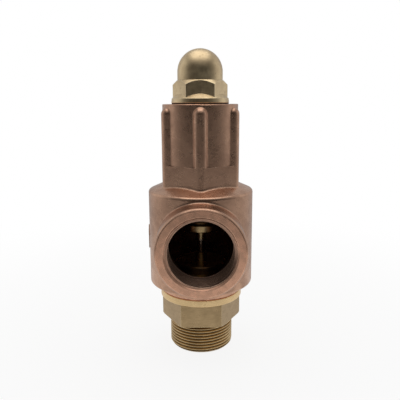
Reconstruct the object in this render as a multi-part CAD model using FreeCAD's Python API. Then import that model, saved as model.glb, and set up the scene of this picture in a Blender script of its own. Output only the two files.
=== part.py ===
import FreeCAD, Part

import math
import os

from FreeCAD import Vector

# Spring-loaded pressure relief valve, 1 1/2 inch, screwed inlet below and screwed outlet at the side.
# Millimetres. +Z runs up the valve's axis from the centre of the inlet's lower end. The outlet faces -Y.

# ---- how the shapes are put together ----
OVERCUT = 1.0
OVERLAP = 0.5
TOUCHING = 0.01
ALONG_EDGE = (0.2, 0.5, 0.8)
NO_CHAMFER = 0.0001
CORNER_CLEARANCE = 0.02

# ---- pipe threads: 1 1/2 inch, 55 degree Whitworth form ----
PIPE_PITCH = 2.309
PIPE_CREST_R = 47.803 / 2
PIPE_DEPTH = 1.479
PIPE_FLANK_DEG = 27.5
INLET_END_CHAMFER = 1.7
INLET_RELIEF_LENGTH = 1.6
RELIEF_CLEARANCE = 0.1
NO_TAPER = 0

# ---- metric threads ----
METRIC_FLANK_DEG = 30
FINE_PITCH = 1.5
FINE_DEPTH = 0.92
FINE_END_CHAMFER = 1.1
RUNNING_GAP = 0.05

# ---- inlet nozzle ----
THREAD_TOP_Z = 22.0
HEX_TOP_Z = 39.8
NOZZLE_HEX_CHAMFER = 1.2
NOZZLE_HEX_AF = 51.8
COLLAR_TOP_Z = 45.0
COLLAR_R = 30.9
COLLAR_CHAMFER = 0.4
NECK_R = 25.0
NECK_TOP_Z = 56.6
NECK_CHAMFER = 0.8
SEAT_Z = 58.7
SEAT_IN_R = 16.0
SEAT_OUT_R = 18.0
SEAT_CONE_R = 20.0
INLET_BORE_R = 19.0
INLET_BORE_TOP_Z = 29.0
THROAT_LOW_Z = 35.0

# ---- body casting ----
JOINT_RING_TOP_Z = 46.2
JOINT_RING_IN_R = 25.2
JOINT_RING_OUT_R = 30.3
FOOT_R = 31.4
BARREL_LOW_Z = 51.0
BARREL_R = 38.6
BARREL_LOW_EDGE_R = 1.5
SHOULDER_LOW = (38.6, 121.1)
SHOULDER_TOP = (25.8, 126.76)
SHOULDER_EDGE_R = 2.2
FLOOR_Z = 57.5
CHAMBER_R = 34.0
CHAMBER_TOP_Z = 112.0
BONNET_R = 27.3
BONNET_BORE_R = 22.0
BONNET_BORE_LOW_Z = 120.0
BONNET_TOP_Z = 183.1
BONNET_ROOF_Z = 178.5
BONNET_EDGE_R = 0.6
RIB_COUNT = 6
RIB_R = 4.8
RIB_AXIS_R = (BONNET_R - RIB_R) / math.cos(math.pi / RIB_COUNT)
RIB_TOP_Z = 176.2
RIB_ROOT_R = 1.5
SKIRT_ROOT_R = 2.0
SKIRT_TOP_Z = 140.5
CAP_THREAD_R = 14.0
CAP_NECK_TOP_Z = 190.5
CAP_NECK_RELIEF_LENGTH = 2.2
CAP_NECK_GROOVE_START = 2.0

# ---- outlet ----
OUTLET_Z = 86.6
OUTLET_BOSS_R = 31.4
OUTLET_FACE_Y = -53.0
OUTLET_THREAD_LENGTH = 15.5
OUTLET_RELIEF_RAMP = 0.8
OUTLET_RELIEF_FLAT = 1.6
OUTLET_MOUTH_R = 25.2
OUTLET_STEP_R = 24.1
OUTLET_START_DEG = 165
OUTLET_EDGE_R = 3.0
OUTLET_FACED_OFF = 0.4
OUTLET_ROOT_R = 1.6

# ---- flow arrow cast on the barrel ----
ARROW_LOW_Z = 76.0
ARROW_HIGH_Z = 94.0
ARROW_HEIGHT = 0.8
ARROW_REACH = 2.0
ARROW_HEAD_HALF_WIDTH = 5.0
ARROW_STEM_HALF_WIDTH = 1.7
ARROW_HEAD_LENGTH = 7.0

# ---- disc assembly ----
DISC_R = 19.2
DISC_RIM_LOW_Z = 59.4
DISC_TOP_Z = 66.0
DISC_CHAMFER = 0.6
SEAT_DISC_R = 18.3
SEAT_DISC_TOP_Z = 62.0
DISC_BOSS_R = 7.0
DISC_HUB_R = 4.7
DISC_HUB_TOP_Z = 72.4
DISC_HUB_CHAMFER = 0.4
DISC_PIN_R = 1.0
DISC_PIN_Z = 69.4
GUIDE_FLANGE_R = 13.0
GUIDE_FLANGE_LOW_Z = 56.5
GUIDE_WING_R = SEAT_IN_R - 0.08
GUIDE_WING_COUNT = 4
GUIDE_WING_THICK = 2.2
GUIDE_WING_LEAD_WIDTH = 1.5
GUIDE_WING_LEAD_HEIGHT = 2.5
GUIDE_LOW_Z = 40.0
GUIDE_HUB_R = 4.6
CLAMP_SCREW_R = 2.5
CLAMP_HEAD_R = 4.2
CLAMP_HEAD_LOW_Z = 36.8
CLAMP_SCREW_TOP_Z = 64.0
HEX_KEY_AF = 4.0
HEX_KEY_DEPTH = 2.0

# ---- spindle and what it carries ----
SPINDLE_TIP_Z = 65.4
SPINDLE_TIP_CHAMFER = 0.8
SPINDLE_LOWER_R = 2.75
SPINDLE_STEP_LOW_Z = 80.8
SPINDLE_STEP_TOP_Z = 81.2
SPINDLE_R = 3.2
SPINDLE_TOP_Z = 193.0
SPINDLE_TOP_CHAMFER = 1.2
SUPPORT_RING_LOW_Z = 82.2
SUPPORT_RING_TOP_Z = 83.3
SUPPORT_RING_R = 4.7
SUPPORT_GROOVE_R = 2.6
SUPPORT_RING_GAP = 1.6
SLEEVE_R = 4.0
LOWER_PLATE_LOW_Z = 90.6
LOWER_PLATE_TOP_Z = 95.8
LOWER_PLATE_R = 14.0
PLATE_HUB_R = 9.4
PLATE_HUB_HEIGHT = 2.8
PLATE_HUB_TAPER = 0.8
PLATE_CHAMFER = 0.5

# ---- spring ----
WIRE_R = 2.2
COIL_R = 12.0
SPRING_TURNS = 9.5
CLOSED_TURNS = 1.0
CLOSED_PITCH = 4.55
SPRING_LOW_Z = LOWER_PLATE_TOP_Z
SPRING_TOP_Z = 168.0
COIL_START_LIFT = 1.3
POINTS_PER_TURN = 8

# ---- upper spring plate, adjusting screw and lock nut ----
UPPER_PLATE_TOP_Z = 172.5
UPPER_PLATE_R = 14.2
SPINDLE_HOLE_R = 3.6
THRUST_WASHER_TOP_Z = 174.0
THRUST_WASHER_R = 6.6
SCREW_R = 7.0
SCREW_TOP_Z = 207.5
SCREW_POINT_R = 5.9
SCREW_POINT_HEIGHT = 2.5
BUSH_R = 4.6
BUSH_TOP_Z = 190.0
SCREW_HOLE_TOP_Z = 200.5
SLOT_WIDTH = 2.0
SLOT_DEPTH = 3.0
NUT_WASHER_TOP_Z = 191.7
NUT_WASHER_R = 11.6
NUT_WASHER_HOLE_R = 7.2
NUT_TOP_Z = 198.7
NUT_AF = 21.0
NUT_LOW_CHAMFER = 1.0
NUT_TOP_CHAMFER = 0.8
NUT_BORE_CHAMFER = 0.8

# ---- dome cap ----
GASKET_TOP_Z = 183.9
GASKET_IN_R = 14.2
GASKET_R = 20.5
CAP_FLANGE_TOP_Z = 187.0
CAP_FLANGE_R = 20.8
CAP_FLANGE_TOP_R = 20.4
CAP_EDGE_CHAMFER = 0.3
CAP_CONE_TOP = (17.0, 190.2)
CAP_HEX_AF = 34.0
CAP_HEX_SIDE_TOP_Z = 196.5
CAP_HEX_TOP_Z = 199.6
DOME_R = 16.15
DOME_CENTRE_Z = 205.4
CAP_BORE_TOP_Z = 192.0
CAP_HOLLOW_R = 13.4

AXIS = Vector(0, 0, 1)
ORIGIN = Vector(0, 0, 0)


def cylinder(radius, low_z, high_z):
    return Part.makeCylinder(radius, high_z - low_z, Vector(0, 0, low_z))


def tube(outer_r, inner_r, low_z, high_z):
    return cylinder(outer_r, low_z, high_z).cut(cylinder(inner_r, low_z, high_z))


def turned(points):
    """Solid of revolution about the valve's axis from a closed outline of (radius, height) points."""
    corners = [Vector(r, 0, z) for r, z in points]
    outline = Part.makePolygon(corners + corners[:1])
    return Part.Face(outline).revolve(ORIGIN, AXIS, 360)


def turned_in_quarters(points):
    """The same solid as turned() gives, with every round face split into four."""
    corners = [Vector(r, 0, z) for r, z in points]
    outline = Part.Face(Part.makePolygon(corners + corners[:1]))
    quarters = []
    for i in range(4):
        start = outline.copy()
        start.rotate(ORIGIN, AXIS, 90 * i)
        quarters.append(start.revolve(ORIGIN, AXIS, 90))
    return quarters[0].multiFuse(quarters[1:])


def regular_prism(sides, across_flats, low_z, high_z):
    """Upright prism with one flat facing -Y."""
    corner_r = across_flats / 2 / math.cos(math.pi / sides)
    first = -math.pi / 2 - math.pi / sides
    angles = [first + 2 * math.pi * i / sides for i in range(sides + 1)]
    corners = [Vector(corner_r * math.cos(a), corner_r * math.sin(a), low_z) for a in angles]
    return Part.Face(Part.makePolygon(corners)).extrude(Vector(0, 0, high_z - low_z))


def hex_chamfer_tool(across_flats, low_z, high_z, low_cut, high_cut):
    """Turned envelope whose coned ends take the points off a hexagon's corners."""
    flat_r = across_flats / 2
    corner_r = flat_r / math.cos(math.pi / 6) + CORNER_CLEARANCE
    return turned([
        (0, low_z),
        (corner_r - low_cut, low_z),
        (corner_r, low_z + low_cut * math.tan(math.pi / 6)),
        (corner_r, high_z - high_cut),
        (corner_r - high_cut, high_z),
        (0, high_z),
    ])


def helical_groove(pitch, depth, crest_r, flank_deg, low_z, high_z, inside=False):
    """V groove with a flat root, wound right-handed between two heights.

    An outside thread is cut inwards from crest_r, and an inside thread is cut outwards from it.
    """
    outward = 1 if inside else -1
    crest_flat = pitch / 6
    overcut = crest_flat / 3 / math.tan(math.radians(flank_deg))
    half_root = pitch / 2 - crest_flat / 2 - depth * math.tan(math.radians(flank_deg))
    half_mouth = pitch / 2 - crest_flat / 2 + overcut * math.tan(math.radians(flank_deg))
    mouth_r = crest_r - outward * overcut
    root_r = crest_r + outward * depth
    corners = [
        Vector(mouth_r, 0, -half_mouth),
        Vector(root_r, 0, -half_root),
        Vector(root_r, 0, half_root),
        Vector(mouth_r, 0, half_mouth),
    ]
    profile = Part.makePolygon(corners + corners[:1])
    path = Part.Wire(Part.makeLongHelix(pitch, high_z - low_z, crest_r, NO_TAPER).Edges)
    groove = path.makePipeShell([profile], True, True)
    groove.translate(Vector(0, 0, low_z))
    return groove


def edges_where(shape, test):
    return [edge for edge in shape.Edges if test(edge)]


def points_along(edge):
    span = edge.LastParameter - edge.FirstParameter
    return [edge.valueAt(edge.FirstParameter + share * span) for share in ALONG_EDGE]


def near(first, second):
    return abs(first - second) < TOUCHING


# ---- body ----


def bonnet_shell():
    """Outside of the bonnet: a cylinder, ribs with domed tops, and the six-sided skirt they widen into."""
    shell = cylinder(BONNET_R, CHAMBER_TOP_Z, BONNET_TOP_Z)
    top_edge = edges_where(shell, lambda e: near(e.CenterOfMass.z, BONNET_TOP_Z) and e.Closed)
    shell = shell.makeFillet(BONNET_EDGE_R, top_edge)
    skirt = regular_prism(RIB_COUNT, 2 * BONNET_R, CHAMBER_TOP_Z, SKIRT_TOP_Z)
    skirt.rotate(ORIGIN, AXIS, 180 / RIB_COUNT)
    corners = edges_where(skirt, lambda e: abs(e.tangentAt(e.FirstParameter).z) > 0.9)
    skirt = skirt.makeFillet(RIB_R, corners)
    ribs = []
    for i in range(RIB_COUNT):
        angle = -math.pi / 2 + 2 * math.pi * i / RIB_COUNT
        foot = Vector(RIB_AXIS_R * math.cos(angle), RIB_AXIS_R * math.sin(angle), CHAMBER_TOP_Z)
        rib = Part.makeCylinder(RIB_R, RIB_TOP_Z - CHAMBER_TOP_Z, foot)
        crown = Part.makeSphere(RIB_R, Vector(foot.x, foot.y, RIB_TOP_Z))
        ribs += [rib, crown]
    shell = shell.multiFuse([skirt] + ribs).removeSplitter()
    return shell.makeFillet(RIB_ROOT_R, edges_where(shell, is_rib_root))


def is_rib_root(edge):
    """True for the curves where a rib or its domed top runs into the bonnet's round, above the skirt."""
    spacing = 2 * math.pi / RIB_COUNT
    for point in points_along(edge):
        nearest = round(math.atan2(point.y, point.x) / spacing - 0.5) + 0.5
        rib_angle = nearest * spacing
        foot = Vector(RIB_AXIS_R * math.cos(rib_angle), RIB_AXIS_R * math.sin(rib_angle), 0)
        rib_centre = foot + Vector(0, 0, min(point.z, RIB_TOP_Z))
        on_rib = near(point.distanceToPoint(rib_centre), RIB_R)
        on_bonnet = near(math.hypot(point.x, point.y), BONNET_R)
        above_skirt = point.z > SKIRT_TOP_Z + TOUCHING
        if not (on_rib and on_bonnet and above_skirt):
            return False
    return True


def is_skirt_root(edge):
    """True for the curves where the skirt's sides stand on the shoulder."""
    if edge.CenterOfMass.z > SHOULDER_TOP[1] or edge.CenterOfMass.z < SHOULDER_LOW[1]:
        return False
    slope = (SHOULDER_LOW[1] - SHOULDER_TOP[1]) / (SHOULDER_LOW[0] - SHOULDER_TOP[0])
    for point in points_along(edge):
        radius = math.hypot(point.x, point.y)
        cone_z = SHOULDER_TOP[1] + slope * (radius - SHOULDER_TOP[0])
        beside_skirt = BONNET_R - TOUCHING < radius < BONNET_R + RIB_R
        if not (near(point.z, cone_z) and beside_skirt):
            return False
    return True


def flow_arrow():
    """Arrow raised on the barrel's -X side, pointing up the valve."""
    neck_z = ARROW_HIGH_Z - ARROW_HEAD_LENGTH
    outline = [
        (-ARROW_STEM_HALF_WIDTH, ARROW_LOW_Z),
        (ARROW_STEM_HALF_WIDTH, ARROW_LOW_Z),
        (ARROW_STEM_HALF_WIDTH, neck_z),
        (ARROW_HEAD_HALF_WIDTH, neck_z),
        (0, ARROW_HIGH_Z),
        (-ARROW_HEAD_HALF_WIDTH, neck_z),
        (-ARROW_STEM_HALF_WIDTH, neck_z),
    ]
    corners = [Vector(-BARREL_R - ARROW_REACH, y, z) for y, z in outline]
    prism = Part.Face(Part.makePolygon(corners + corners[:1])).extrude(Vector(2 * ARROW_REACH, 0, 0))
    return prism.common(cylinder(BARREL_R + ARROW_HEIGHT, ARROW_LOW_Z - OVERCUT, ARROW_HIGH_Z + OVERCUT))


def outlet_boss():
    """Round boss with a cast rounded rim, faced off flat so that the face ends in a crisp edge."""
    cast_y = OUTLET_FACE_Y - OUTLET_FACED_OFF
    boss = Part.makeCylinder(OUTLET_BOSS_R, -cast_y, Vector(0, 0, OUTLET_Z), Vector(0, -1, 0))
    rim = edges_where(boss, lambda e: near(e.CenterOfMass.y, cast_y) and e.Closed)
    boss = boss.makeFillet(OUTLET_EDGE_R, rim)
    kept = Part.makeCylinder(
        OUTLET_BOSS_R + OVERCUT, -OUTLET_FACE_Y, Vector(0, 0, OUTLET_Z), Vector(0, -1, 0)
    )
    return boss.common(kept)


def outlet_cutter():
    """Everything taken out through the outlet: mouth chamfer, thread and the bore into the chamber."""
    thread_r = PIPE_CREST_R - PIPE_DEPTH
    relief_r = PIPE_CREST_R + RELIEF_CLEARANCE
    step_depth = OUTLET_MOUTH_R - OUTLET_STEP_R
    relief_start = OUTLET_THREAD_LENGTH + OUTLET_RELIEF_RAMP
    relief_end = relief_start + OUTLET_RELIEF_FLAT
    end = -OUTLET_FACE_Y
    cutter = turned_in_quarters([
        (0, -OVERCUT),
        (OUTLET_MOUTH_R + OVERCUT, -OVERCUT),
        (OUTLET_MOUTH_R, 0),
        (OUTLET_STEP_R, step_depth),
        (thread_r, step_depth),
        (thread_r, OUTLET_THREAD_LENGTH),
        (relief_r, relief_start),
        (relief_r, relief_end),
        (thread_r, relief_end + OUTLET_RELIEF_RAMP),
        (thread_r, end),
        (0, end),
    ])
    groove_end = relief_start + OUTLET_RELIEF_FLAT / 2
    groove = helical_groove(
        PIPE_PITCH, PIPE_DEPTH, thread_r, PIPE_FLANK_DEG, -PIPE_PITCH, groove_end, inside=True
    )
    groove.rotate(ORIGIN, AXIS, OUTLET_START_DEG)
    cutter = cutter.fuse(groove)
    cutter.rotate(ORIGIN, Vector(1, 0, 0), -90)
    cutter.translate(Vector(0, OUTLET_FACE_Y, OUTLET_Z))
    return cutter


def body_blank():
    """Outside of the casting, solid, with the fillet where the outlet boss meets the barrel."""
    barrel = turned([
        (0, JOINT_RING_TOP_Z),
        (FOOT_R, JOINT_RING_TOP_Z),
        (FOOT_R, BARREL_LOW_Z),
        (BARREL_R, BARREL_LOW_Z),
        SHOULDER_LOW,
        SHOULDER_TOP,
        (0, SHOULDER_TOP[1]),
    ])
    rims = edges_where(barrel, lambda e: e.Closed and e.Length > 6 * BARREL_R)
    low_rim = [edge for edge in rims if edge.CenterOfMass.z < OUTLET_Z]
    barrel = barrel.makeFillet(BARREL_LOW_EDGE_R, low_rim)
    high_rim = edges_where(barrel, lambda e: e.Closed and near(e.CenterOfMass.z, SHOULDER_LOW[1]))
    barrel = barrel.makeFillet(SHOULDER_EDGE_R, high_rim)
    blank = barrel.fuse(outlet_boss())
    root = edges_where(blank, is_boss_root)
    return blank.makeFillet(OUTLET_ROOT_R, root)


def is_boss_root(edge):
    """True for the curve where the outlet boss runs into the barrel's side."""
    for point in points_along(edge):
        on_boss = near(math.hypot(point.x, point.z - OUTLET_Z), OUTLET_BOSS_R)
        on_barrel = near(math.hypot(point.x, point.y), BARREL_R)
        if not (on_boss and on_barrel):
            return False
    return True


def body_hollow():
    """Inside of the casting: nozzle thread, outlet chamber, spring chamber and adjusting screw hole."""
    return turned([
        (0, JOINT_RING_TOP_Z - OVERCUT),
        (NECK_R, JOINT_RING_TOP_Z - OVERCUT),
        (NECK_R, FLOOR_Z),
        (CHAMBER_R, FLOOR_Z),
        (CHAMBER_R, CHAMBER_TOP_Z),
        (BONNET_BORE_R, BONNET_BORE_LOW_Z),
        (BONNET_BORE_R, BONNET_ROOF_Z),
        (SCREW_R + RUNNING_GAP, BONNET_ROOF_Z),
        (SCREW_R + RUNNING_GAP, CAP_NECK_TOP_Z + OVERCUT),
        (0, CAP_NECK_TOP_Z + OVERCUT),
    ])


def cap_neck():
    """Threaded spigot on the bonnet's top that the dome cap screws onto."""
    chamfer = FINE_END_CHAMFER
    neck = turned([
        (0, BONNET_TOP_Z - OVERLAP),
        (CAP_THREAD_R, BONNET_TOP_Z - OVERLAP),
        (CAP_THREAD_R, CAP_NECK_TOP_Z - chamfer),
        (CAP_THREAD_R - chamfer, CAP_NECK_TOP_Z),
        (0, CAP_NECK_TOP_Z),
    ])
    groove_low_z = BONNET_TOP_Z + CAP_NECK_GROOVE_START
    groove_top_z = CAP_NECK_TOP_Z + FINE_PITCH
    groove = helical_groove(
        FINE_PITCH, FINE_DEPTH, CAP_THREAD_R, METRIC_FLANK_DEG, groove_low_z, groove_top_z
    )
    relief_r = CAP_THREAD_R - FINE_DEPTH - RELIEF_CLEARANCE
    relief = tube(CAP_THREAD_R + OVERCUT, relief_r, BONNET_TOP_Z, BONNET_TOP_Z + CAP_NECK_RELIEF_LENGTH)
    return neck.cut(groove).cut(relief)


def valve_body():
    blank = body_blank().fuse(bonnet_shell())
    blank = blank.makeFillet(SKIRT_ROOT_R, edges_where(blank, is_skirt_root))
    blank = blank.multiFuse([flow_arrow(), cap_neck()])
    return blank.cut(body_hollow()).cut(outlet_cutter())


# ---- inlet ----


def inlet_thread():
    relief_low_z = THREAD_TOP_Z - INLET_RELIEF_LENGTH
    blank = turned_in_quarters([
        (0, 0),
        (PIPE_CREST_R - INLET_END_CHAMFER, 0),
        (PIPE_CREST_R, INLET_END_CHAMFER),
        (PIPE_CREST_R, THREAD_TOP_Z + OVERLAP),
        (0, THREAD_TOP_Z + OVERLAP),
    ])
    groove_top_z = relief_low_z + INLET_RELIEF_LENGTH / 2
    groove = helical_groove(
        PIPE_PITCH, PIPE_DEPTH, PIPE_CREST_R, PIPE_FLANK_DEG, -PIPE_PITCH, groove_top_z
    )
    relief_r = PIPE_CREST_R - PIPE_DEPTH - RELIEF_CLEARANCE
    relief = tube(PIPE_CREST_R + OVERCUT, relief_r, relief_low_z, THREAD_TOP_Z)
    return blank.cut(groove).cut(relief)


def inlet_nozzle():
    hexagon = regular_prism(6, NOZZLE_HEX_AF, THREAD_TOP_Z, HEX_TOP_Z)
    envelope = hex_chamfer_tool(NOZZLE_HEX_AF, THREAD_TOP_Z, HEX_TOP_Z, NOZZLE_HEX_CHAMFER, NO_CHAMFER)
    hexagon = hexagon.common(envelope)
    upper = turned([
        (0, HEX_TOP_Z),
        (COLLAR_R - COLLAR_CHAMFER, HEX_TOP_Z),
        (COLLAR_R, HEX_TOP_Z + COLLAR_CHAMFER),
        (COLLAR_R, COLLAR_TOP_Z - COLLAR_CHAMFER),
        (COLLAR_R - COLLAR_CHAMFER, COLLAR_TOP_Z),
        (NECK_R, COLLAR_TOP_Z),
        (NECK_R, NECK_TOP_Z - NECK_CHAMFER),
        (NECK_R - NECK_CHAMFER, NECK_TOP_Z),
        (SEAT_CONE_R, NECK_TOP_Z),
        (SEAT_OUT_R, SEAT_Z),
        (0, SEAT_Z),
    ])
    waterway = turned([
        (0, -OVERCUT),
        (INLET_BORE_R, -OVERCUT),
        (INLET_BORE_R, INLET_BORE_TOP_Z),
        (SEAT_IN_R, THROAT_LOW_Z),
        (SEAT_IN_R, SEAT_Z + OVERCUT),
        (0, SEAT_Z + OVERCUT),
    ])
    return inlet_thread().multiFuse([hexagon, upper]).cut(waterway)


def nozzle_joint_ring():
    return tube(JOINT_RING_OUT_R, JOINT_RING_IN_R, COLLAR_TOP_Z, JOINT_RING_TOP_Z)


# ---- disc assembly ----


def disc_holder():
    body = turned([
        (0, SEAT_Z),
        (DISC_BOSS_R, SEAT_Z),
        (DISC_BOSS_R, SEAT_DISC_TOP_Z),
        (SEAT_DISC_R, SEAT_DISC_TOP_Z),
        (SEAT_DISC_R, DISC_RIM_LOW_Z),
        (DISC_R, DISC_RIM_LOW_Z),
        (DISC_R, DISC_TOP_Z - DISC_CHAMFER),
        (DISC_R - DISC_CHAMFER, DISC_TOP_Z),
        (DISC_HUB_R, DISC_TOP_Z),
        (DISC_HUB_R, DISC_HUB_TOP_Z - DISC_HUB_CHAMFER),
        (DISC_HUB_R - DISC_HUB_CHAMFER, DISC_HUB_TOP_Z),
        (0, DISC_HUB_TOP_Z),
    ])
    spindle_hole = cylinder(SPINDLE_LOWER_R, SPINDLE_TIP_Z, DISC_HUB_TOP_Z)
    screw_hole = cylinder(CLAMP_SCREW_R, SEAT_Z, CLAMP_SCREW_TOP_Z)
    return body.cut(spindle_hole).cut(screw_hole).cut(disc_pin())


def seat_disc():
    return tube(SEAT_DISC_R, DISC_BOSS_R, SEAT_Z, SEAT_DISC_TOP_Z)


def disc_pin():
    length = 2 * DISC_HUB_R
    return Part.makeCylinder(DISC_PIN_R, length, Vector(-DISC_HUB_R, 0, DISC_PIN_Z), Vector(1, 0, 0))


def wing_guide():
    """Clamp flange for the seat disc with four wings that keep the disc central in the nozzle."""
    flange = cylinder(GUIDE_FLANGE_R, GUIDE_FLANGE_LOW_Z, SEAT_Z)
    hub = cylinder(GUIDE_HUB_R, GUIDE_LOW_Z, SEAT_Z)
    corner = Vector(0, -GUIDE_WING_THICK / 2, GUIDE_LOW_Z)
    height = GUIDE_FLANGE_LOW_Z - GUIDE_LOW_Z + OVERLAP
    wings = []
    for i in range(GUIDE_WING_COUNT):
        wing = Part.makeBox(GUIDE_WING_R, GUIDE_WING_THICK, height, corner)
        wing.rotate(ORIGIN, AXIS, 45 + 360 * i / GUIDE_WING_COUNT)
        wings.append(wing)
    envelope = turned([
        (0, GUIDE_LOW_Z),
        (GUIDE_WING_R - GUIDE_WING_LEAD_WIDTH, GUIDE_LOW_Z),
        (GUIDE_WING_R, GUIDE_LOW_Z + GUIDE_WING_LEAD_HEIGHT),
        (GUIDE_WING_R, GUIDE_FLANGE_LOW_Z - GUIDE_WING_LEAD_HEIGHT),
        (GUIDE_FLANGE_R, GUIDE_FLANGE_LOW_Z),
        (GUIDE_FLANGE_R, SEAT_Z),
        (0, SEAT_Z),
    ])
    guide = flange.multiFuse([hub] + wings).common(envelope)
    return guide.cut(cylinder(CLAMP_SCREW_R, GUIDE_LOW_Z, SEAT_Z))


def clamp_screw():
    head = cylinder(CLAMP_HEAD_R, CLAMP_HEAD_LOW_Z, GUIDE_LOW_Z)
    shank = cylinder(CLAMP_SCREW_R, GUIDE_LOW_Z - OVERLAP, CLAMP_SCREW_TOP_Z)
    key = regular_prism(6, HEX_KEY_AF, CLAMP_HEAD_LOW_Z, CLAMP_HEAD_LOW_Z + HEX_KEY_DEPTH)
    return head.fuse(shank).cut(key)


# ---- spindle and spring ----


def spindle():
    return turned([
        (0, SPINDLE_TIP_Z),
        (SPINDLE_LOWER_R - SPINDLE_TIP_CHAMFER, SPINDLE_TIP_Z),
        (SPINDLE_LOWER_R, SPINDLE_TIP_Z + SPINDLE_TIP_CHAMFER),
        (SPINDLE_LOWER_R, SPINDLE_STEP_LOW_Z),
        (SPINDLE_R, SPINDLE_STEP_TOP_Z),
        (SPINDLE_R, SUPPORT_RING_LOW_Z),
        (SUPPORT_GROOVE_R, SUPPORT_RING_LOW_Z),
        (SUPPORT_GROOVE_R, SUPPORT_RING_TOP_Z),
        (SPINDLE_R, SUPPORT_RING_TOP_Z),
        (SPINDLE_R, SPINDLE_TOP_Z - SPINDLE_TOP_CHAMFER),
        (SPINDLE_R - SPINDLE_TOP_CHAMFER, SPINDLE_TOP_Z),
        (0, SPINDLE_TOP_Z),
    ]).cut(disc_pin())


def support_ring():
    """Open retaining ring in the spindle's groove. Its gap faces +Y."""
    ring = tube(SUPPORT_RING_R, SUPPORT_GROOVE_R, SUPPORT_RING_LOW_Z, SUPPORT_RING_TOP_Z)
    corner = Vector(-SUPPORT_RING_GAP / 2, 0, SUPPORT_RING_LOW_Z)
    thickness = SUPPORT_RING_TOP_Z - SUPPORT_RING_LOW_Z
    gap = Part.makeBox(SUPPORT_RING_GAP, SUPPORT_RING_R + OVERCUT, thickness, corner)
    return ring.cut(gap)


def support_sleeve():
    return tube(SLEEVE_R, SPINDLE_R, SUPPORT_RING_TOP_Z, LOWER_PLATE_LOW_Z)


def lower_spring_plate():
    hub_top = LOWER_PLATE_TOP_Z + PLATE_HUB_HEIGHT
    return turned([
        (SPINDLE_R, LOWER_PLATE_LOW_Z),
        (LOWER_PLATE_R - PLATE_CHAMFER, LOWER_PLATE_LOW_Z),
        (LOWER_PLATE_R, LOWER_PLATE_LOW_Z + PLATE_CHAMFER),
        (LOWER_PLATE_R, LOWER_PLATE_TOP_Z - PLATE_CHAMFER),
        (LOWER_PLATE_R - PLATE_CHAMFER, LOWER_PLATE_TOP_Z),
        (PLATE_HUB_R, LOWER_PLATE_TOP_Z),
        (PLATE_HUB_R - PLATE_HUB_TAPER, hub_top),
        (SPINDLE_R, hub_top),
    ])


def upper_spring_plate():
    hub_low = SPRING_TOP_Z - PLATE_HUB_HEIGHT
    return turned([
        (SPINDLE_HOLE_R, hub_low),
        (PLATE_HUB_R - PLATE_HUB_TAPER, hub_low),
        (PLATE_HUB_R, SPRING_TOP_Z),
        (UPPER_PLATE_R - PLATE_CHAMFER, SPRING_TOP_Z),
        (UPPER_PLATE_R, SPRING_TOP_Z + PLATE_CHAMFER),
        (UPPER_PLATE_R, UPPER_PLATE_TOP_Z - PLATE_CHAMFER),
        (UPPER_PLATE_R - PLATE_CHAMFER, UPPER_PLATE_TOP_Z),
        (SPINDLE_HOLE_R, UPPER_PLATE_TOP_Z),
    ])


def coil_points():
    """Centre line of the wire: one closed turn at each end, open turns between them."""
    low = SPRING_LOW_Z + COIL_START_LIFT
    high = SPRING_TOP_Z - COIL_START_LIFT
    open_turns = SPRING_TURNS - 2 * CLOSED_TURNS
    open_pitch = (high - low - 2 * CLOSED_TURNS * CLOSED_PITCH) / open_turns
    count = int(SPRING_TURNS * POINTS_PER_TURN)
    points = []
    for i in range(count + 1):
        turn = i / POINTS_PER_TURN
        closed_below = min(turn, CLOSED_TURNS)
        opened = min(max(turn - CLOSED_TURNS, 0), open_turns)
        closed_above = max(turn - CLOSED_TURNS - open_turns, 0)
        height = low + CLOSED_PITCH * (closed_below + closed_above) + open_pitch * opened
        angle = 2 * math.pi * turn
        points.append(Vector(COIL_R * math.cos(angle), COIL_R * math.sin(angle), height))
    return points


def spring():
    """Compression spring with closed ends ground flat against the two plates."""
    centre_line = Part.BSplineCurve()
    centre_line.interpolate(coil_points())
    path = Part.Wire(centre_line.toShape())
    start = centre_line.value(centre_line.FirstParameter)
    direction = centre_line.tangent(centre_line.FirstParameter)[0]
    section = Part.Wire(Part.makeCircle(WIRE_R, start, direction))
    coil = path.makePipeShell([section], True, True)
    room = cylinder(COIL_R + 2 * WIRE_R, SPRING_LOW_Z, SPRING_TOP_Z)
    return coil.common(room)


# ---- adjusting screw, lock nut ----


def thrust_washer():
    return tube(THRUST_WASHER_R, SPINDLE_HOLE_R, UPPER_PLATE_TOP_Z, THRUST_WASHER_TOP_Z)


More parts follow.
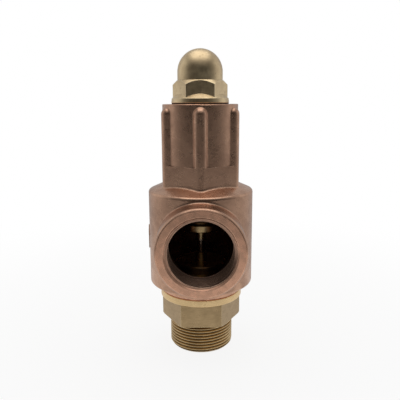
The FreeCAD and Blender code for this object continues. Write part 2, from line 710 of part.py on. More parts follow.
def adjusting_screw():
    """Threaded screw with a plain point below, a blind hole for the guide bush and a screwdriver slot."""
    chamfer = FINE_END_CHAMFER
    point_top_z = THRUST_WASHER_TOP_Z + SCREW_POINT_HEIGHT
    blank = turned([
        (0, THRUST_WASHER_TOP_Z),
        (SCREW_POINT_R, THRUST_WASHER_TOP_Z),
        (SCREW_POINT_R, point_top_z),
        (SCREW_R, point_top_z + chamfer),
        (SCREW_R, SCREW_TOP_Z - chamfer),
        (SCREW_R - chamfer, SCREW_TOP_Z),
        (0, SCREW_TOP_Z),
    ])
    groove_low_z = point_top_z - FINE_PITCH
    groove_top_z = SCREW_TOP_Z + FINE_PITCH
    groove = helical_groove(
        FINE_PITCH, FINE_DEPTH, SCREW_R, METRIC_FLANK_DEG, groove_low_z, groove_top_z
    )
    hole = turned([
        (0, THRUST_WASHER_TOP_Z),
        (BUSH_R, THRUST_WASHER_TOP_Z),
        (BUSH_R, BUSH_TOP_Z),
        (SPINDLE_HOLE_R, BUSH_TOP_Z),
        (SPINDLE_HOLE_R, SCREW_HOLE_TOP_Z),
        (0, SCREW_HOLE_TOP_Z),
    ])
    slot_corner = Vector(-SCREW_R - OVERCUT, -SLOT_WIDTH / 2, SCREW_TOP_Z - SLOT_DEPTH)
    slot_length = 2 * (SCREW_R + OVERCUT)
    slot = Part.makeBox(slot_length, SLOT_WIDTH, SLOT_DEPTH + OVERCUT, slot_corner)
    return blank.cut(groove).cut(hole).cut(slot)


def guide_bush():
    return tube(BUSH_R, SPINDLE_R + RUNNING_GAP, THRUST_WASHER_TOP_Z, BUSH_TOP_Z)


def lock_nut_washer():
    return tube(NUT_WASHER_R, NUT_WASHER_HOLE_R, CAP_NECK_TOP_Z, NUT_WASHER_TOP_Z)


def lock_nut():
    blank = regular_prism(6, NUT_AF, NUT_WASHER_TOP_Z, NUT_TOP_Z)
    envelope = hex_chamfer_tool(NUT_AF, NUT_WASHER_TOP_Z, NUT_TOP_Z, NUT_LOW_CHAMFER, NUT_TOP_CHAMFER)
    blank = blank.common(envelope)
    bore_r = SCREW_R + RUNNING_GAP
    mouth_r = bore_r + NUT_BORE_CHAMFER
    bore = turned([
        (0, NUT_WASHER_TOP_Z - OVERCUT),
        (mouth_r, NUT_WASHER_TOP_Z - OVERCUT),
        (mouth_r, NUT_WASHER_TOP_Z),
        (bore_r, NUT_WASHER_TOP_Z + NUT_BORE_CHAMFER),
        (bore_r, NUT_TOP_Z - NUT_BORE_CHAMFER),
        (mouth_r, NUT_TOP_Z),
        (mouth_r, NUT_TOP_Z + OVERCUT),
        (0, NUT_TOP_Z + OVERCUT),
    ])
    return blank.cut(bore)


# ---- cap ----


def cap_gasket():
    return tube(GASKET_R, GASKET_IN_R, BONNET_TOP_Z, GASKET_TOP_Z)


def dome(radius, low_z):
    """Cylinder closed by a hemisphere centred at the dome's centre height."""
    ball = Part.makeSphere(radius, Vector(0, 0, DOME_CENTRE_Z))
    return cylinder(radius, low_z, DOME_CENTRE_Z).fuse(ball)


def dome_cap():
    flange = turned([
        (0, GASKET_TOP_Z),
        (CAP_FLANGE_R - CAP_EDGE_CHAMFER, GASKET_TOP_Z),
        (CAP_FLANGE_R, GASKET_TOP_Z + CAP_EDGE_CHAMFER),
        (CAP_FLANGE_TOP_R, CAP_FLANGE_TOP_Z),
        CAP_CONE_TOP,
        (0, CAP_CONE_TOP[1]),
    ])
    hex_chamfer = CAP_HEX_TOP_Z - CAP_HEX_SIDE_TOP_Z
    inner_low_z = GASKET_TOP_Z + OVERLAP
    hexagon = regular_prism(6, CAP_HEX_AF, inner_low_z, CAP_HEX_TOP_Z)
    envelope = hex_chamfer_tool(CAP_HEX_AF, inner_low_z, CAP_HEX_TOP_Z, NO_CHAMFER, hex_chamfer)
    outside = flange.multiFuse([hexagon.common(envelope), dome(DOME_R, inner_low_z)])
    bore = cylinder(CAP_THREAD_R + RUNNING_GAP, GASKET_TOP_Z - OVERCUT, CAP_BORE_TOP_Z)
    hollow = dome(CAP_HOLLOW_R, CAP_BORE_TOP_Z - OVERLAP)
    return outside.cut(bore).cut(hollow).removeSplitter()


PARTS = {
    "valve_body": valve_body,
    "inlet_nozzle": inlet_nozzle,
    "nozzle_joint_ring": nozzle_joint_ring,
    "disc_holder": disc_holder,
    "seat_disc": seat_disc,
    "wing_guide": wing_guide,
    "clamp_screw": clamp_screw,
    "disc_pin": disc_pin,
    "spindle": spindle,
    "support_ring": support_ring,
    "support_sleeve": support_sleeve,
    "lower_spring_plate": lower_spring_plate,
    "spring": spring,
    "upper_spring_plate": upper_spring_plate,
    "thrust_washer": thrust_washer,
    "adjusting_screw": adjusting_screw,
    "guide_bush": guide_bush,
    "lock_nut_washer": lock_nut_washer,
    "lock_nut": lock_nut,
    "cap_gasket": cap_gasket,
    "dome_cap": dome_cap,
}

os.makedirs("parts", exist_ok=True)
for name, make in PARTS.items():
    shape = make()
    shape.exportStep("parts/" + name + ".step")
    print(name, shape.ShapeType, len(shape.Solids), shape.isValid(), round(shape.Volume, 1))
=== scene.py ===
import math

import bmesh
import bpy
from mathutils import Matrix, Vector


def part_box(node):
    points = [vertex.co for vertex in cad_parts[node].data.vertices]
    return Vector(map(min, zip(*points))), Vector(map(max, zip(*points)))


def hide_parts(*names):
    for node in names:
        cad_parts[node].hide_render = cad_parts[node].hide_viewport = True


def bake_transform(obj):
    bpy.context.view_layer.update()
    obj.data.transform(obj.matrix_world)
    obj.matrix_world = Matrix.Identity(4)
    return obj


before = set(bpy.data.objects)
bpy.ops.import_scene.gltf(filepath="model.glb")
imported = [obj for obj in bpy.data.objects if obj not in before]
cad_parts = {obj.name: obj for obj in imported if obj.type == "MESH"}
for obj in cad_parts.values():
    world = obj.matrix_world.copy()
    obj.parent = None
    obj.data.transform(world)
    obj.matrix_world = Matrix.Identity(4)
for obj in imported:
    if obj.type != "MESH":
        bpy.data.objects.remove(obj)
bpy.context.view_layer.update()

# Looks of a cast bronze pressure relief valve: finishes for its 21 parts, the spring cut into two halves
# at the middle of its length, a pale floor, soft light and a camera.
# Metres. +Z runs up the valve's axis from the inlet's lower end and the outlet faces -Y.

# ---- camera ----
CAMERA_AT = (-0.0005, -0.349, 0.1854)
CAMERA_TILT_DEG = 11.8
CAMERA_ROLL_DEG = -0.3
CAMERA_LENS_MM = 42.75
CAMERA_SENSOR_MM = 36.0

# ---- studio ----
FLOOR_Z = -0.0003
FLOOR_HALF_SIZE = 6.0
FLOOR_COLOUR = (0.93, 0.93, 0.92, 1)
FLOOR_ROUGHNESS = 0.9
FLOOR_FADE_START = 0.05
FLOOR_FADE_END = 0.45
FLOOR_GLOW_NEAR = 0.88
BACKDROP_COLOUR = (1.0, 1.0, 1.0, 1)
# Axis of the light's direction, where the change starts and ends along it, strength before and after.
SURROUND_SIDES = ("Y", -0.92, 0.50, 0.07, 0.64)
SURROUND_TOP = ("Z", 0.45, 1.0, 0.0, 0.95)
SURROUND_UNDER = ("Z", -0.16, -0.36, 0.0, 0.95)
# Place, side length and power of each square light.
SOFTBOXES = {
    "left": ((-0.80, 0.20, 0.40), 0.7, 0.3),
    "right": ((0.80, 0.20, 0.40), 0.7, 0.3),
    "above": ((0.0, 0.05, 0.95), 0.8, 1.6),
}
AIM_AT = Vector((0, 0, 0.11))

# ---- where the valve's surfaces lie ----
OUTLET_AXIS_Z = 0.0866
OUTLET_FACE_Y = -0.053
OUTLET_MOUTH_R = 0.0252
CHAMBER_R = 0.034
CHAMBER_TOP_Z = 0.112
BODY_FOOT_Z = 0.051
BONNET_TOP_Z = 0.1831
THREAD_CREST_R = 0.0239015
THREAD_DEPTH = 0.00148
THREAD_TOP_Z = 0.022
HEX_TOP_Z = 0.0398

# ---- where each region of a finish starts to show and where it is full ----
OUTLET_FACE_FADE_Y = (OUTLET_FACE_Y + 0.0004, OUTLET_FACE_Y + 0.0001)
OUTLET_MOUTH_FADE_R = (OUTLET_MOUTH_R + 0.0006, OUTLET_MOUTH_R + 0.0001)
OUTLET_MOUTH_FADE_Y = (-0.020, -0.030)
# Depth into the outlet's bore where its painted shade starts.
OUTLET_BORE_FADE_Y = (OUTLET_FACE_Y + 0.0008, OUTLET_FACE_Y + 0.0013)
BODY_FOOT_FADE_Z = (BODY_FOOT_Z + 0.0002, BODY_FOOT_Z - 0.0002)
BONNET_TOP_FADE_Z = (BONNET_TOP_Z - 0.0006, BONNET_TOP_Z - 0.0001)
# Wall, top and foot of the chamber, inside which painted shade darkens the body.
CHAMBER_WALL_FADE_R = (CHAMBER_R + 0.0004, CHAMBER_R - 0.0004)
CHAMBER_TOP_FADE_Z = (CHAMBER_TOP_Z + 0.003, CHAMBER_TOP_Z)
CHAMBER_FOOT_FADE_Z = (BODY_FOOT_Z, BODY_FOOT_Z + 0.002)
# Where the inlet thread's roots lie, which get painted shade.
THREAD_FADE_Z = (THREAD_TOP_Z, THREAD_TOP_Z - 0.0004)
THREAD_ROOT_FADE = (THREAD_DEPTH * 0.15, THREAD_DEPTH * 0.9)
THREAD_WALL_FADE = (THREAD_DEPTH * 1.6, THREAD_DEPTH * 1.3)
# Hexagon and collar, which get painted shade and painted sheen.
HEX_FOOT_FADE_Z = (THREAD_TOP_Z, THREAD_TOP_Z + 0.0003)
COLLAR_FADE_Z = (HEX_TOP_Z, HEX_TOP_Z + 0.0003)

# ---- metal colours, linear ----
BRONZE_PALE = (0.67, 0.41, 0.28, 1)
BRONZE_DEEP = (0.48, 0.285, 0.195, 1)
# Bronze stain colour, also used for painted shade inside the body and in its corners.
BRONZE_STAIN_AND_SHADE = (0.20, 0.125, 0.092, 1)
BRONZE_CUT = (0.76, 0.41, 0.27, 1)
BRONZE_WORN = (0.90, 0.62, 0.44, 1)
BRASS_PALE = (0.84, 0.60, 0.31, 1)
BRASS_DEEP = (0.60, 0.42, 0.21, 1)
# Brass stain colour, also used for painted shade in the thread's roots and in corners.
BRASS_STAIN_AND_SHADE = (0.28, 0.19, 0.095, 1)
BRASS_WORN = (0.95, 0.78, 0.48, 1)
# Painted shade for the milled hexagon and painted sheen for the turned collar.
BRASS_HEX_SHADE = (0.34, 0.24, 0.135, 1)
BRASS_COLLAR_SHEEN = (1.0, 0.72, 0.38, 1)
CAP_PALE = (0.84, 0.66, 0.40, 1)
CAP_DEEP = (0.66, 0.50, 0.30, 1)
# Cap stain colour, also used for painted shade in corners.
CAP_STAIN_AND_SHADE = (0.30, 0.22, 0.12, 1)
CAP_WORN = (0.97, 0.86, 0.62, 1)
COPPER_PALE = (0.80, 0.42, 0.28, 1)
COPPER_DEEP = (0.50, 0.23, 0.15, 1)
STEEL_PALE = (0.66, 0.50, 0.37, 1)
STEEL_DEEP = (0.42, 0.30, 0.22, 1)
SPRING_PALE = (0.30, 0.29, 0.28, 1)
SPRING_DEEP = (0.12, 0.115, 0.11, 1)
PTFE_WHITE = (0.84, 0.84, 0.81, 1)
PTFE_GREY = (0.70, 0.70, 0.67, 1)
FIBRE_DARK = (0.050, 0.036, 0.030, 1)
FIBRE_PALE = (0.16, 0.11, 0.085, 1)

# ---- turned inner parts: colours, roughness and the width and height of their turning lines ----
PLAIN_METALS = {
    "inner_brass": {
        "pale": BRASS_PALE, "deep": BRASS_DEEP,
        "rough": 0.40, "smooth": 0.27,
        "line_size": 0.0003, "line_height": 0.00002,
    },
    "copper": {
        "pale": COPPER_PALE, "deep": COPPER_DEEP,
        "rough": 0.46, "smooth": 0.33,
        "line_size": 0.0004, "line_height": 0.00001,
    },
    "spindle_steel": {
        "pale": STEEL_PALE, "deep": STEEL_DEEP,
        "rough": 0.34, "smooth": 0.21,
        "line_size": 0.0003, "line_height": 0.00001,
    },
}

# ---- how marks and edges are found ----
RAY_SAMPLES = 6
NOISE_ROUGHNESS = 0.58
LINE_ROUGHNESS = 0.6
NOISE_LOW = 0.3
NOISE_HIGH = 0.7
SPECK_CORE = 0.16
SPECK_RIM = 0.42
SPECK_FULL_SHARE = 0.6
EDGE_TURN_SLIGHT = 0.995
EDGE_TURN_FULL = 0.90
EDGE_SHELTER_REACH = 3
EDGE_SHELTER_NONE = 0.05
EDGE_SHELTER_FULL = 0.35

# ---- directions ----
ACROSS_VALVE_AXIS = (1, 1, 0)
ACROSS_OUTLET_AXIS = (1, 0, 1)


class Nodes:
    """A node tree and short ways to add to it."""

    def __init__(self, tree):
        self.tree = tree

    def node(self, kind, inputs=None, **settings):
        """Add a node, with its settings and what its inputs are fed."""
        made = self.tree.nodes.new(kind)
        for key, value in settings.items():
            setattr(made, key, value)
        for key, value in (inputs or {}).items():
            self.feed(made.inputs[key], value)
        return made

    def feed(self, socket, value):
        """Link another node's output to a socket, or give the socket a plain value."""
        if isinstance(value, bpy.types.NodeSocket):
            self.tree.links.new(value, socket)
        else:
            socket.default_value = value

    def maths(self, operation, first, second):
        made = self.node("ShaderNodeMath", {0: first, 1: second}, operation=operation)
        return made.outputs["Value"]

    def plus(self, first, second):
        return self.maths("ADD", first, second)

    def minus(self, first, second):
        return self.maths("SUBTRACT", first, second)

    def times(self, first, second):
        return self.maths("MULTIPLY", first, second)

    def larger(self, first, second):
        return self.maths("MAXIMUM", first, second)

    def step(self, value, low, high, at_low=0.0, at_high=1.0):
        """Smooth change from at_low to at_high as value goes from low to high."""
        inputs = {"Value": value, "From Min": low, "From Max": high, "To Min": at_low, "To Max": at_high}
        made = self.node("ShaderNodeMapRange", inputs, interpolation_type="SMOOTHSTEP")
        return made.outputs["Result"]

    def mix_shaders(self, factor, first, second):
        """First shader where factor is 0 and second where it is 1."""
        return self.node("ShaderNodeMixShader", {0: factor, 1: first, 2: second}).outputs[0]


class Finish(Nodes):
    """One material and the nodes that feed its shader. Positions are the object's own, in metres."""

    def __init__(self, name, metallic):
        self.material = bpy.data.materials.new(name)
        self.material.use_nodes = True
        super().__init__(self.material.node_tree)
        self.shader = self.tree.nodes["Principled BSDF"]
        self.shader.inputs["Metallic"].default_value = metallic
        self.place = self.node("ShaderNodeTexCoord").outputs["Object"]
        axes = self.node("ShaderNodeSeparateXYZ", {"Vector": self.place})
        self.y = axes.outputs["Y"]
        self.z = axes.outputs["Z"]

    def stretched(self, scale):
        """Place for a noise that is drawn out along the axes whose scale is under 1."""
        made = self.node("ShaderNodeVectorMath", {0: self.place, 1: scale}, operation="MULTIPLY")
        return made.outputs["Vector"]

    def noise(self, size, detail, stretch=None, warp=0.0):
        """Noise whose lumps are about size metres across."""
        inputs = {
            "Vector": self.stretched(stretch) if stretch else self.place,
            "Scale": 1 / size,
            "Detail": detail,
            "Roughness": NOISE_ROUGHNESS,
            "Distortion": warp,
        }
        return self.node("ShaderNodeTexNoise", inputs).outputs["Fac"]

    def line_noise(self, distance, size, detail=2.0):
        """Noise along one distance only, as a cutting tool leaves it."""
        inputs = {"W": distance, "Scale": 1 / size, "Detail": detail, "Roughness": LINE_ROUGHNESS}
        return self.node("ShaderNodeTexNoise", inputs, noise_dimensions="1D").outputs["Fac"]

    def specks(self, size, share):
        """1 on small scattered spots that cover about the given share of the surface, 0 elsewhere."""
        cells = self.node("ShaderNodeTexVoronoi", {"Vector": self.place, "Scale": 1 / size})
        chosen = self.node("ShaderNodeSeparateColor", {"Color": cells.outputs["Color"]}).outputs[0]
        rare = self.step(chosen, 1 - share, 1 - share * SPECK_FULL_SHARE)
        spot = self.step(cells.outputs["Distance"], SPECK_RIM, SPECK_CORE)
        return self.times(rare, spot)

    def blend(self, factor, first, second):
        """First colour where factor is 0 and second where it is 1."""
        made = self.node("ShaderNodeMix", data_type="RGBA")
        self.feed(made.inputs[6], first)
        self.feed(made.inputs[7], second)
        self.feed(made.inputs[0], factor)
        return made.outputs[2]

    def blend_value(self, factor, first, second):
        """First value where factor is 0 and second where it is 1."""
        made = self.node("ShaderNodeMix", {0: factor, 2: first, 3: second}, data_type="FLOAT")
        return made.outputs[0]

    def tint(self, colour, towards, share, mask):
        """Move colour towards another by the given share where mask is 1."""
        return self.blend(self.times(mask, share), colour, towards)

    def radius(self, centre, keep):
        """Distance from an axis: keep is 1 for the two directions across the axis and 0 along it."""
        offset = self.node("ShaderNodeVectorMath", {0: self.place, 1: centre}, operation="SUBTRACT")
        from_centre = offset.outputs["Vector"]
        flat = self.node("ShaderNodeVectorMath", {0: from_centre, 1: keep}, operation="MULTIPLY")
        made = self.node("ShaderNodeVectorMath", {0: flat.outputs["Vector"]}, operation="LENGTH")
        return made.outputs["Value"]

    def shelter(self, reach):
        """1 deep in corners and grooves, 0 on open surface."""
        settings = {"samples": RAY_SAMPLES, "only_local": True}
        seen = self.node("ShaderNodeAmbientOcclusion", {"Distance": reach}, **settings)
        return self.minus(1.0, seen.outputs["AO"])

    def eased(self, width):
        """Normal of a surface whose edges are broken by width metres."""
        return self.node("ShaderNodeBevel", {"Radius": width}, samples=RAY_SAMPLES).outputs["Normal"]

    def open_edges(self, width):
        """1 along edges that stand proud, fading out over about width metres."""
        true = self.node("ShaderNodeNewGeometry").outputs["Normal"]
        turn = self.node("ShaderNodeVectorMath", {0: self.eased(width), 1: true}, operation="DOT_PRODUCT")
        edge = self.step(turn.outputs["Value"], EDGE_TURN_SLIGHT, EDGE_TURN_FULL)
        shelter = self.shelter(width * EDGE_SHELTER_REACH)
        return self.times(edge, self.step(shelter, EDGE_SHELTER_FULL, EDGE_SHELTER_NONE))

    def roughness(self, noise, rough, smooth):
        """Roughness that goes from rough to smooth over most of a noise's range."""
        return self.step(noise, NOISE_LOW, NOISE_HIGH, rough, smooth)

    def bump(self, height, distance, normal=None):
        """Normal of a surface whose height is a noise times distance metres."""
        inputs = {"Height": height, "Distance": distance, "Strength": 1.0}
        if normal is not None:
            inputs["Normal"] = normal
        return self.node("ShaderNodeBump", inputs).outputs["Normal"]

    def set(self, colour, roughness, normal):
        """Feed the shader and hand over the finished material."""
        self.feed(self.shader.inputs["Base Color"], colour)
        self.feed(self.shader.inputs["Roughness"], roughness)
        self.feed(self.shader.inputs["Normal"], normal)
        return self.material


def cast_bronze():
    """Sand-cast bronze with machined faces at the outlet, the joint at the foot and the bonnet's top."""
    f = Finish("cast_bronze", metallic=1.0)
    from_valve_axis = f.radius((0, 0, 0), ACROSS_VALVE_AXIS)
    from_outlet_axis = f.radius((0, 0, OUTLET_AXIS_Z), ACROSS_OUTLET_AXIS)
    outlet_face = f.step(f.y, *OUTLET_FACE_FADE_Y)
    mouth = f.times(f.step(from_outlet_axis, *OUTLET_MOUTH_FADE_R), f.step(f.y, *OUTLET_MOUTH_FADE_Y))
    about_outlet = f.larger(outlet_face, mouth)
    about_valve = f.larger(f.step(f.z, *BODY_FOOT_FADE_Z), f.step(f.z, *BONNET_TOP_FADE_Z))
    machined = f.larger(about_outlet, about_valve)

    cloud = f.noise(size=0.022, detail=5.0, warp=0.6)
    patch = f.noise(size=0.006, detail=4.0)
    lumps = f.noise(size=0.0024, detail=3.0)
    grain = f.noise(size=0.00055, detail=3.0)
    pits = f.specks(size=0.0011, share=0.10)
    cloud_weight = 0.65
    tone = f.plus(f.times(cloud, cloud_weight), f.times(patch, 1 - cloud_weight))
    colour = f.blend(f.step(tone, low=0.36, high=0.66), BRONZE_DEEP, BRONZE_PALE)
    colour = f.tint(colour, BRONZE_STAIN_AND_SHADE, share=0.18, mask=f.step(grain, low=0.50, high=0.30))
    colour = f.tint(colour, BRONZE_STAIN_AND_SHADE, share=0.35, mask=pits)

    rings = f.line_noise(from_outlet_axis, size=0.00045)
    faint_rings = f.line_noise(from_valve_axis, size=0.00045)
    cut_lines = f.blend_value(about_outlet, faint_rings, rings)
    cut = f.tint(BRONZE_CUT, BRONZE_PALE, share=0.4, mask=f.step(cut_lines, low=0.35, high=0.65))
    cut = f.tint(cut, BRONZE_DEEP, share=0.5, mask=f.step(patch, low=0.58, high=0.42))
    colour = f.blend(machined, colour, cut)

    # Painted shade: the chamber's inside and the outlet's bore beyond its first millimetre are darkened
    # towards the stain colour.
    painted_chamber_shade = f.step(from_valve_axis, *CHAMBER_WALL_FADE_R)
    painted_chamber_shade = f.times(painted_chamber_shade, f.step(f.z, *CHAMBER_TOP_FADE_Z))
    painted_chamber_shade = f.times(painted_chamber_shade, f.step(f.z, *CHAMBER_FOOT_FADE_Z))
    painted_bore_shade = f.times(mouth, f.step(f.y, *OUTLET_BORE_FADE_Y))
    colour = f.tint(colour, BRONZE_STAIN_AND_SHADE, share=0.8, mask=f.larger(painted_chamber_shade, painted_bore_shade))

    worn = f.times(f.open_edges(width=0.0007), f.step(patch, low=0.30, high=0.55))
    colour = f.tint(colour, BRONZE_WORN, share=0.6, mask=worn)
    # Painted shade: corners and grooves found by ambient occlusion are darkened towards the stain colour.
    painted_corner_shade = f.step(f.shelter(reach=0.004), low=0.10, high=0.60)
    colour = f.tint(colour, BRONZE_STAIN_AND_SHADE, share=0.55, mask=painted_corner_shade)

    rough_cast = f.roughness(patch, rough=0.35, smooth=0.25)
    faced = f.roughness(cut_lines, rough=0.34, smooth=0.24)
    roughness = f.blend_value(machined, rough_cast, faced)
    lump_height = 1.6
    pit_depth = 0.8
    line_height = 0.35
    sand = f.plus(grain, f.times(lumps, lump_height))
    sand = f.minus(sand, f.times(pits, pit_depth))
    height = f.blend_value(machined, sand, f.times(cut_lines, line_height))
    return f.set(colour, roughness, f.bump(height, distance=0.000045, normal=f.eased(width=0.0004)))


def turned_brass():
    """Inlet nozzle: turned collar painted brighter as painted sheen, milled hexagon painted darker as
    painted shade, and a cut thread with painted shade in its roots.
    """
    f = Finish("turned_brass", metallic=1.0)
    depth = f.minus(THREAD_CREST_R, f.radius((0, 0, 0), ACROSS_VALVE_AXIS))
    root = f.times(f.step(depth, *THREAD_ROOT_FADE), f.step(f.z, *THREAD_FADE_Z))
    root = f.times(root, f.step(depth, *THREAD_WALL_FADE))
    on_collar = f.step(f.z, *COLLAR_FADE_Z)
    on_hex = f.minus(f.step(f.z, *HEX_FOOT_FADE_Z), on_collar)

    cloud = f.noise(size=0.018, detail=4.0, warp=0.4)
    patch = f.noise(size=0.004, detail=4.0)
    turned = f.line_noise(f.z, size=0.00030)
    milled = f.noise(size=0.0006, detail=3.0, stretch=(0.12, 0.12, 1.0))
    lines = f.blend_value(on_hex, turned, milled)
    colour = f.blend(f.step(cloud, low=0.35, high=0.65), BRASS_DEEP, BRASS_PALE)
    # Painted light: the milled hexagon is darkened as painted shade and the turned collar brightened as
    # painted sheen, for how each catches the light.
    colour = f.tint(colour, BRASS_HEX_SHADE, share=0.70, mask=on_hex)
    colour = f.tint(colour, BRASS_COLLAR_SHEEN, share=0.85, mask=on_collar)
    colour = f.tint(colour, BRASS_STAIN_AND_SHADE, share=0.35, mask=f.step(lines, low=0.60, high=0.35))
    colour = f.tint(colour, BRASS_STAIN_AND_SHADE, share=0.35, mask=f.step(patch, low=0.62, high=0.75))
    # Painted shade in the thread's roots.
    colour = f.tint(colour, BRASS_STAIN_AND_SHADE, share=0.75, mask=root)
    colour = f.tint(colour, BRASS_WORN, share=0.6, mask=f.open_edges(width=0.0006))
    # Painted shade: corners found by ambient occlusion are darkened towards the stain colour.
    painted_corner_shade = f.step(f.shelter(reach=0.003), low=0.15, high=0.70)
    colour = f.tint(colour, BRASS_STAIN_AND_SHADE, share=0.5, mask=painted_corner_shade)

    root_dullness = 0.15
    patch_height = 0.4
    roughness = f.plus(f.roughness(patch, rough=0.36, smooth=0.27), f.times(root, root_dullness))
    height = f.plus(lines, f.times(patch, patch_height))
    return f.set(colour, roughness, f.bump(height, distance=0.00003, normal=f.eased(width=0.0003)))


def cap_brass():
    """Dome cap turned and polished from pale brass, with handling scratches and small stains."""
    f = Finish("cap_brass", metallic=1.0)
    cloud = f.noise(size=0.016, detail=4.0, warp=0.5)
    patch = f.noise(size=0.0035, detail=4.0)
    turned = f.line_noise(f.z, size=0.00028)
    scratches = f.noise(size=0.0007, detail=2.0, stretch=(1.0, 1.0, 0.10))
    stains = f.specks(size=0.0022, share=0.16)
    colour = f.blend(f.step(cloud, low=0.35, high=0.65), CAP_DEEP, CAP_PALE)
    colour = f.tint(colour, CAP_STAIN_AND_SHADE, share=0.20, mask=f.step(turned, low=0.60, high=0.38))
    colour = f.tint(colour, CAP_WORN, share=0.35, mask=f.step(scratches, low=0.68, high=0.78))
    colour = f.tint(colour, CAP_STAIN_AND_SHADE, share=0.35, mask=stains)
    colour = f.tint(colour, CAP_STAIN_AND_SHADE, share=0.30, mask=f.step(patch, low=0.62, high=0.78))
    colour = f.tint(colour, CAP_WORN, share=0.65, mask=f.open_edges(width=0.0006))
    # Painted shade: corners found by ambient occlusion are darkened towards the stain colour.
    painted_corner_shade = f.step(f.shelter(reach=0.003), low=0.15, high=0.70)
    colour = f.tint(colour, CAP_STAIN_AND_SHADE, share=0.5, mask=painted_corner_shade)

    roughness = f.roughness(patch, rough=0.38, smooth=0.28)
    scratch_height = 0.8
    height = f.plus(turned, f.times(scratches, scratch_height))
    return f.set(colour, roughness, f.bump(height, distance=0.00002, normal=f.eased(width=0.0003)))


def plain_metal(name, pale, deep, rough, smooth, line_size, line_height):
    """Turned inner part: rings along its length, slow tone changes and painted shade in its corners."""
    f = Finish(name, metallic=1.0)
    cloud = f.noise(size=0.007, detail=4.0, warp=0.4)
    lines = f.line_noise(f.z, line_size)
    colour = f.blend(f.step(cloud, low=0.35, high=0.68), deep, pale)
    colour = f.tint(colour, deep, share=0.35, mask=f.step(lines, low=0.62, high=0.36))
    # Painted shade: corners found by ambient occlusion are darkened towards the deep tone.
    painted_corner_shade = f.step(f.shelter(reach=0.002), low=0.15, high=0.70)
    colour = f.tint(colour, deep, share=0.6, mask=painted_corner_shade)
    roughness = f.roughness(cloud, rough, smooth)
    return f.set(colour, roughness, f.bump(lines, line_height, normal=f.eased(width=0.0002)))


def spring_steel():
    """Oil-blacked wire with drawing marks and a few rubbed places."""
    f = Finish("spring_steel", metallic=1.0)
    cloud = f.noise(size=0.004, detail=4.0, warp=0.6)
    fine = f.noise(size=0.0005, detail=3.0)
    colour = f.blend(f.step(cloud, low=0.42, high=0.70), SPRING_DEEP, SPRING_PALE)
    colour = f.tint(colour, STEEL_DEEP, share=0.5, mask=f.step(fine, low=0.62, high=0.78))
    roughness = f.roughness(fine, rough=0.48, smooth=0.34)
    return f.set(colour, roughness, f.bump(fine, distance=0.00002))


def soft_white():
    """PTFE: waxy white with faint cutting marks."""
    f = Finish("ptfe", metallic=0.0)
    cloud = f.noise(size=0.004, detail=3.0)
    fine = f.noise(size=0.0004, detail=2.0)
    colour = f.blend(f.step(cloud, low=0.35, high=0.70), PTFE_GREY, PTFE_WHITE)
    roughness = f.roughness(fine, rough=0.50, smooth=0.38)
    return f.set(colour, roughness, f.bump(fine, distance=0.00001, normal=f.eased(width=0.0002)))


def fibre():
    """Compressed fibre sheet: dark, dull, with paler strands."""
    f = Finish("fibre", metallic=0.0)
    strands = f.noise(size=0.0006, detail=4.0, stretch=(1.0, 1.0, 4.0), warp=1.5)
    colour = f.blend(f.step(strands, low=0.45, high=0.75), FIBRE_DARK, FIBRE_PALE)
    roughness = f.roughness(strands, rough=0.90, smooth=0.72)
    return f.set(colour, roughness, f.bump(strands, distance=0.00005, normal=f.eased(width=0.0002)))


def dress():
    """Give every part its finish by the slot that the record names for it."""
    finishes = {
        "cast_bronze": cast_bronze(),
        "turned_brass": turned_brass(),
        "cap_brass": cap_brass(),
        "spring_steel": spring_steel(),
        "ptfe": soft_white(),
        "fibre": fibre(),
    }
    for name, metal in PLAIN_METALS.items():
        finishes[name] = plain_metal(name, **metal)
    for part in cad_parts.values():
        for slot in part.material_slots:
            slot_name = slot.material.name.split(".")[0]
            slot.material = finishes[slot_name]


def half_mesh(whole, middle_z, is_upper):
    """Copy of a mesh with only what lies above, or below, the height middle_z. The cut is left open,
    because the other half's surface carries straight on from it."""
    mesh = whole.copy()
    shape = bmesh.new()
    shape.from_mesh(mesh)
    bmesh.ops.bisect_plane(
        shape,
        geom=shape.verts[:] + shape.edges[:] + shape.faces[:],
        plane_co=(0, 0, middle_z),
        plane_no=(0, 0, 1),
        clear_inner=is_upper,
        clear_outer=not is_upper,
    )
    shape.to_mesh(mesh)
    shape.free()
    return mesh


def spring_halves():
    """The spring in two halves that meet at the middle of its length, shown in place of the whole spring."""
    low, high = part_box("spring")
    middle_z = (low[2] + high[2]) / 2
    halves = (
        ("spring_lower_half", "disc_train", low[2], False),
        ("spring_upper_half", "spring_load", high[2], True),
    )
    for name, body, end_z, is_upper in halves:
        mesh = half_mesh(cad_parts["spring"].data, middle_z, is_upper)
        half = bpy.data.objects.new(name, mesh)
        bpy.context.collection.objects.link(half)
        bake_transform(half)
        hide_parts("spring")


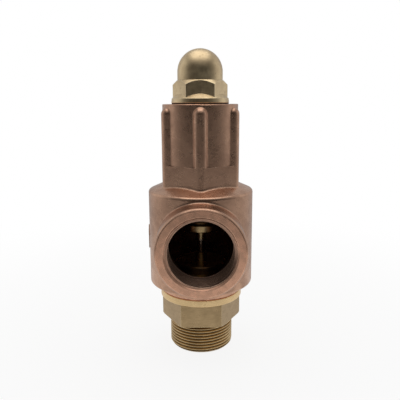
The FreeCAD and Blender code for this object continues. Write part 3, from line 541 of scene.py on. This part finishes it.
def floor():
    """Pale floor, lit near the valve and fading into the white surround further out."""
    bpy.ops.mesh.primitive_plane_add(size=2 * FLOOR_HALF_SIZE, location=(0, 0, FLOOR_Z))
    ground = bpy.context.object
    ground.name = "floor"
    ground.visible_glossy = False
    material = bpy.data.materials.new("floor")
    material.use_nodes = True
    n = Nodes(material.node_tree)
    shader = n.tree.nodes["Principled BSDF"]
    n.feed(shader.inputs["Base Color"], FLOOR_COLOUR)
    n.feed(shader.inputs["Roughness"], FLOOR_ROUGHNESS)
    glow = n.node("ShaderNodeEmission", {"Color": BACKDROP_COLOUR})
    place = n.node("ShaderNodeTexCoord").outputs["Object"]
    distance = n.node("ShaderNodeVectorMath", {0: place}, operation="LENGTH").outputs["Value"]
    fade = n.step(distance, FLOOR_FADE_START, FLOOR_FADE_END, at_low=FLOOR_GLOW_NEAR)
    surface = n.mix_shaders(fade, shader.outputs[0], glow.outputs[0])
    n.feed(n.tree.nodes["Material Output"].inputs["Surface"], surface)
    ground.data.materials.append(material)


def surround():
    """White all round for the camera. For light, bright above, behind and below and dark in front."""
    world = bpy.data.worlds.new("surround")
    bpy.context.scene.world = world
    world.use_nodes = True
    n = Nodes(world.node_tree)
    backdrop = n.tree.nodes["Background"]
    n.feed(backdrop.inputs["Color"], BACKDROP_COLOUR)
    direction = n.node("ShaderNodeTexCoord").outputs["Generated"]
    axes = n.node("ShaderNodeSeparateXYZ", {"Vector": direction})
    brightest = 0.0
    for axis, start, end, before, after in (SURROUND_SIDES, SURROUND_TOP, SURROUND_UNDER):
        brightest = n.larger(brightest, n.step(axes.outputs[axis], start, end, before, after))
    lit = n.node("ShaderNodeBackground", {"Strength": brightest})
    from_camera = n.node("ShaderNodeLightPath").outputs["Is Camera Ray"]
    surface = n.mix_shaders(from_camera, lit.outputs[0], backdrop.outputs[0])
    n.feed(n.tree.nodes["World Output"].inputs["Surface"], surface)


def softboxes():
    """Square soft lights at both sides and above, turned towards the valve."""
    for name, (place, size, power) in SOFTBOXES.items():
        light = bpy.data.lights.new("softbox_" + name, "AREA")
        light.shape = "SQUARE"
        light.size = size
        light.energy = power
        lamp = bpy.data.objects.new(light.name, light)
        lamp.location = place
        lamp.rotation_euler = (AIM_AT - Vector(place)).to_track_quat("-Z", "Y").to_euler()
        bpy.context.scene.collection.objects.link(lamp)


def camera():
    """Camera in front of the outlet, tilted down at the valve."""
    lens = bpy.data.cameras.new("camera")
    lens.lens = CAMERA_LENS_MM
    lens.sensor_width = CAMERA_SENSOR_MM
    eye = bpy.data.objects.new("camera", lens)
    tilt = Matrix.Rotation(math.radians(90 - CAMERA_TILT_DEG), 4, "X")
    roll = Matrix.Rotation(math.radians(CAMERA_ROLL_DEG), 4, "Z")
    eye.matrix_world = Matrix.Translation(CAMERA_AT) @ tilt @ roll
    bpy.context.scene.collection.objects.link(eye)
    bpy.context.scene.camera = eye


bpy.context.scene.view_settings.view_transform = "Standard"
camera()
surround()
softboxes()
floor()
dress()
spring_halves()
